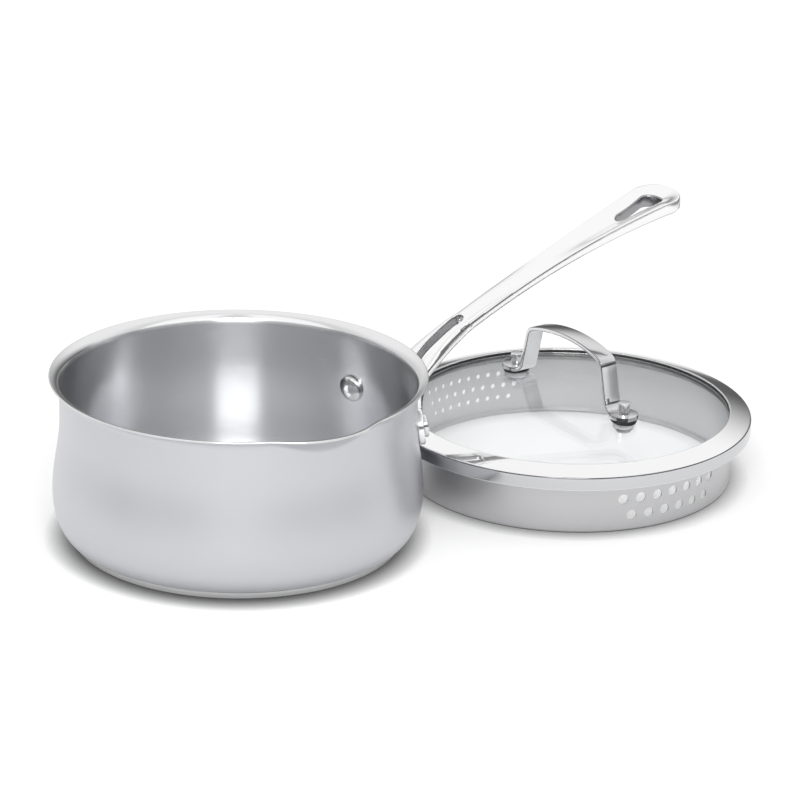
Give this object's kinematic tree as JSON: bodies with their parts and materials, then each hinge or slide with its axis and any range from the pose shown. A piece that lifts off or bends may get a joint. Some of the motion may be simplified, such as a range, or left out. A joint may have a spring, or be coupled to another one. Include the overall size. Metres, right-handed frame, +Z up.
{
  "type": "saucepan with straining glass lid",
  "caption": "Bellied steel saucepan with a pouring lip and a riveted forked handle, and its domed glass lid with a straining skirt and a bent strap handle, standing beside it.",
  "frame": {"origin": "centre of the pan's base, on the surface it stands on", "axes": "+Z up along the pan's axis, +X along the long handle, pouring lip towards -Y, lid standing on the same surface on the +X side"},
  "size_m": [0.3873, 0.1981, 0.1459],
  "materials": {
    "satin_steel": "satin stainless steel, brushed round the wall",
    "polished_steel": "mirror-polished stainless steel",
    "brushed_steel": "finely brushed stainless steel",
    "fastener_steel": "plain stainless steel",
    "aluminium_core": "plain aluminium, enclosed",
    "tempered_glass": "clear tempered glass",
    "seal_silicone": "matt grey silicone",
    "gasket_rubber": "matt black silicone"
  },
  "bodies": {
    "pan": {"pan_body": "satin_steel", "base_core": "aluminium_core", "base_cap": "satin_steel", "long_handle": "polished_steel", "handle_rivet_left": "polished_steel", "handle_rivet_right": "polished_steel"},
    "lid": {"strainer_skirt": "brushed_steel", "lid_rim_band": "polished_steel", "glass_seal": "seal_silicone", "lid_glass": "tempered_glass", "lid_handle": "brushed_steel", "front_upper_gasket": "gasket_rubber", "front_lower_gasket": "gasket_rubber", "front_washer": "fastener_steel", "front_screw": "fastener_steel", "front_barrel_nut": "polished_steel", "rear_upper_gasket": "gasket_rubber", "rear_lower_gasket": "gasket_rubber", "rear_washer": "fastener_steel", "rear_screw": "fastener_steel", "rear_barrel_nut": "polished_steel"}
  },
  "joints": [
    {"name": "lid_lift", "type": "slide", "parent": "pan", "child": "lid", "axis": [0.2, -0.8598, 0.4699], "range_m": [0, 0.2]}
  ]
}
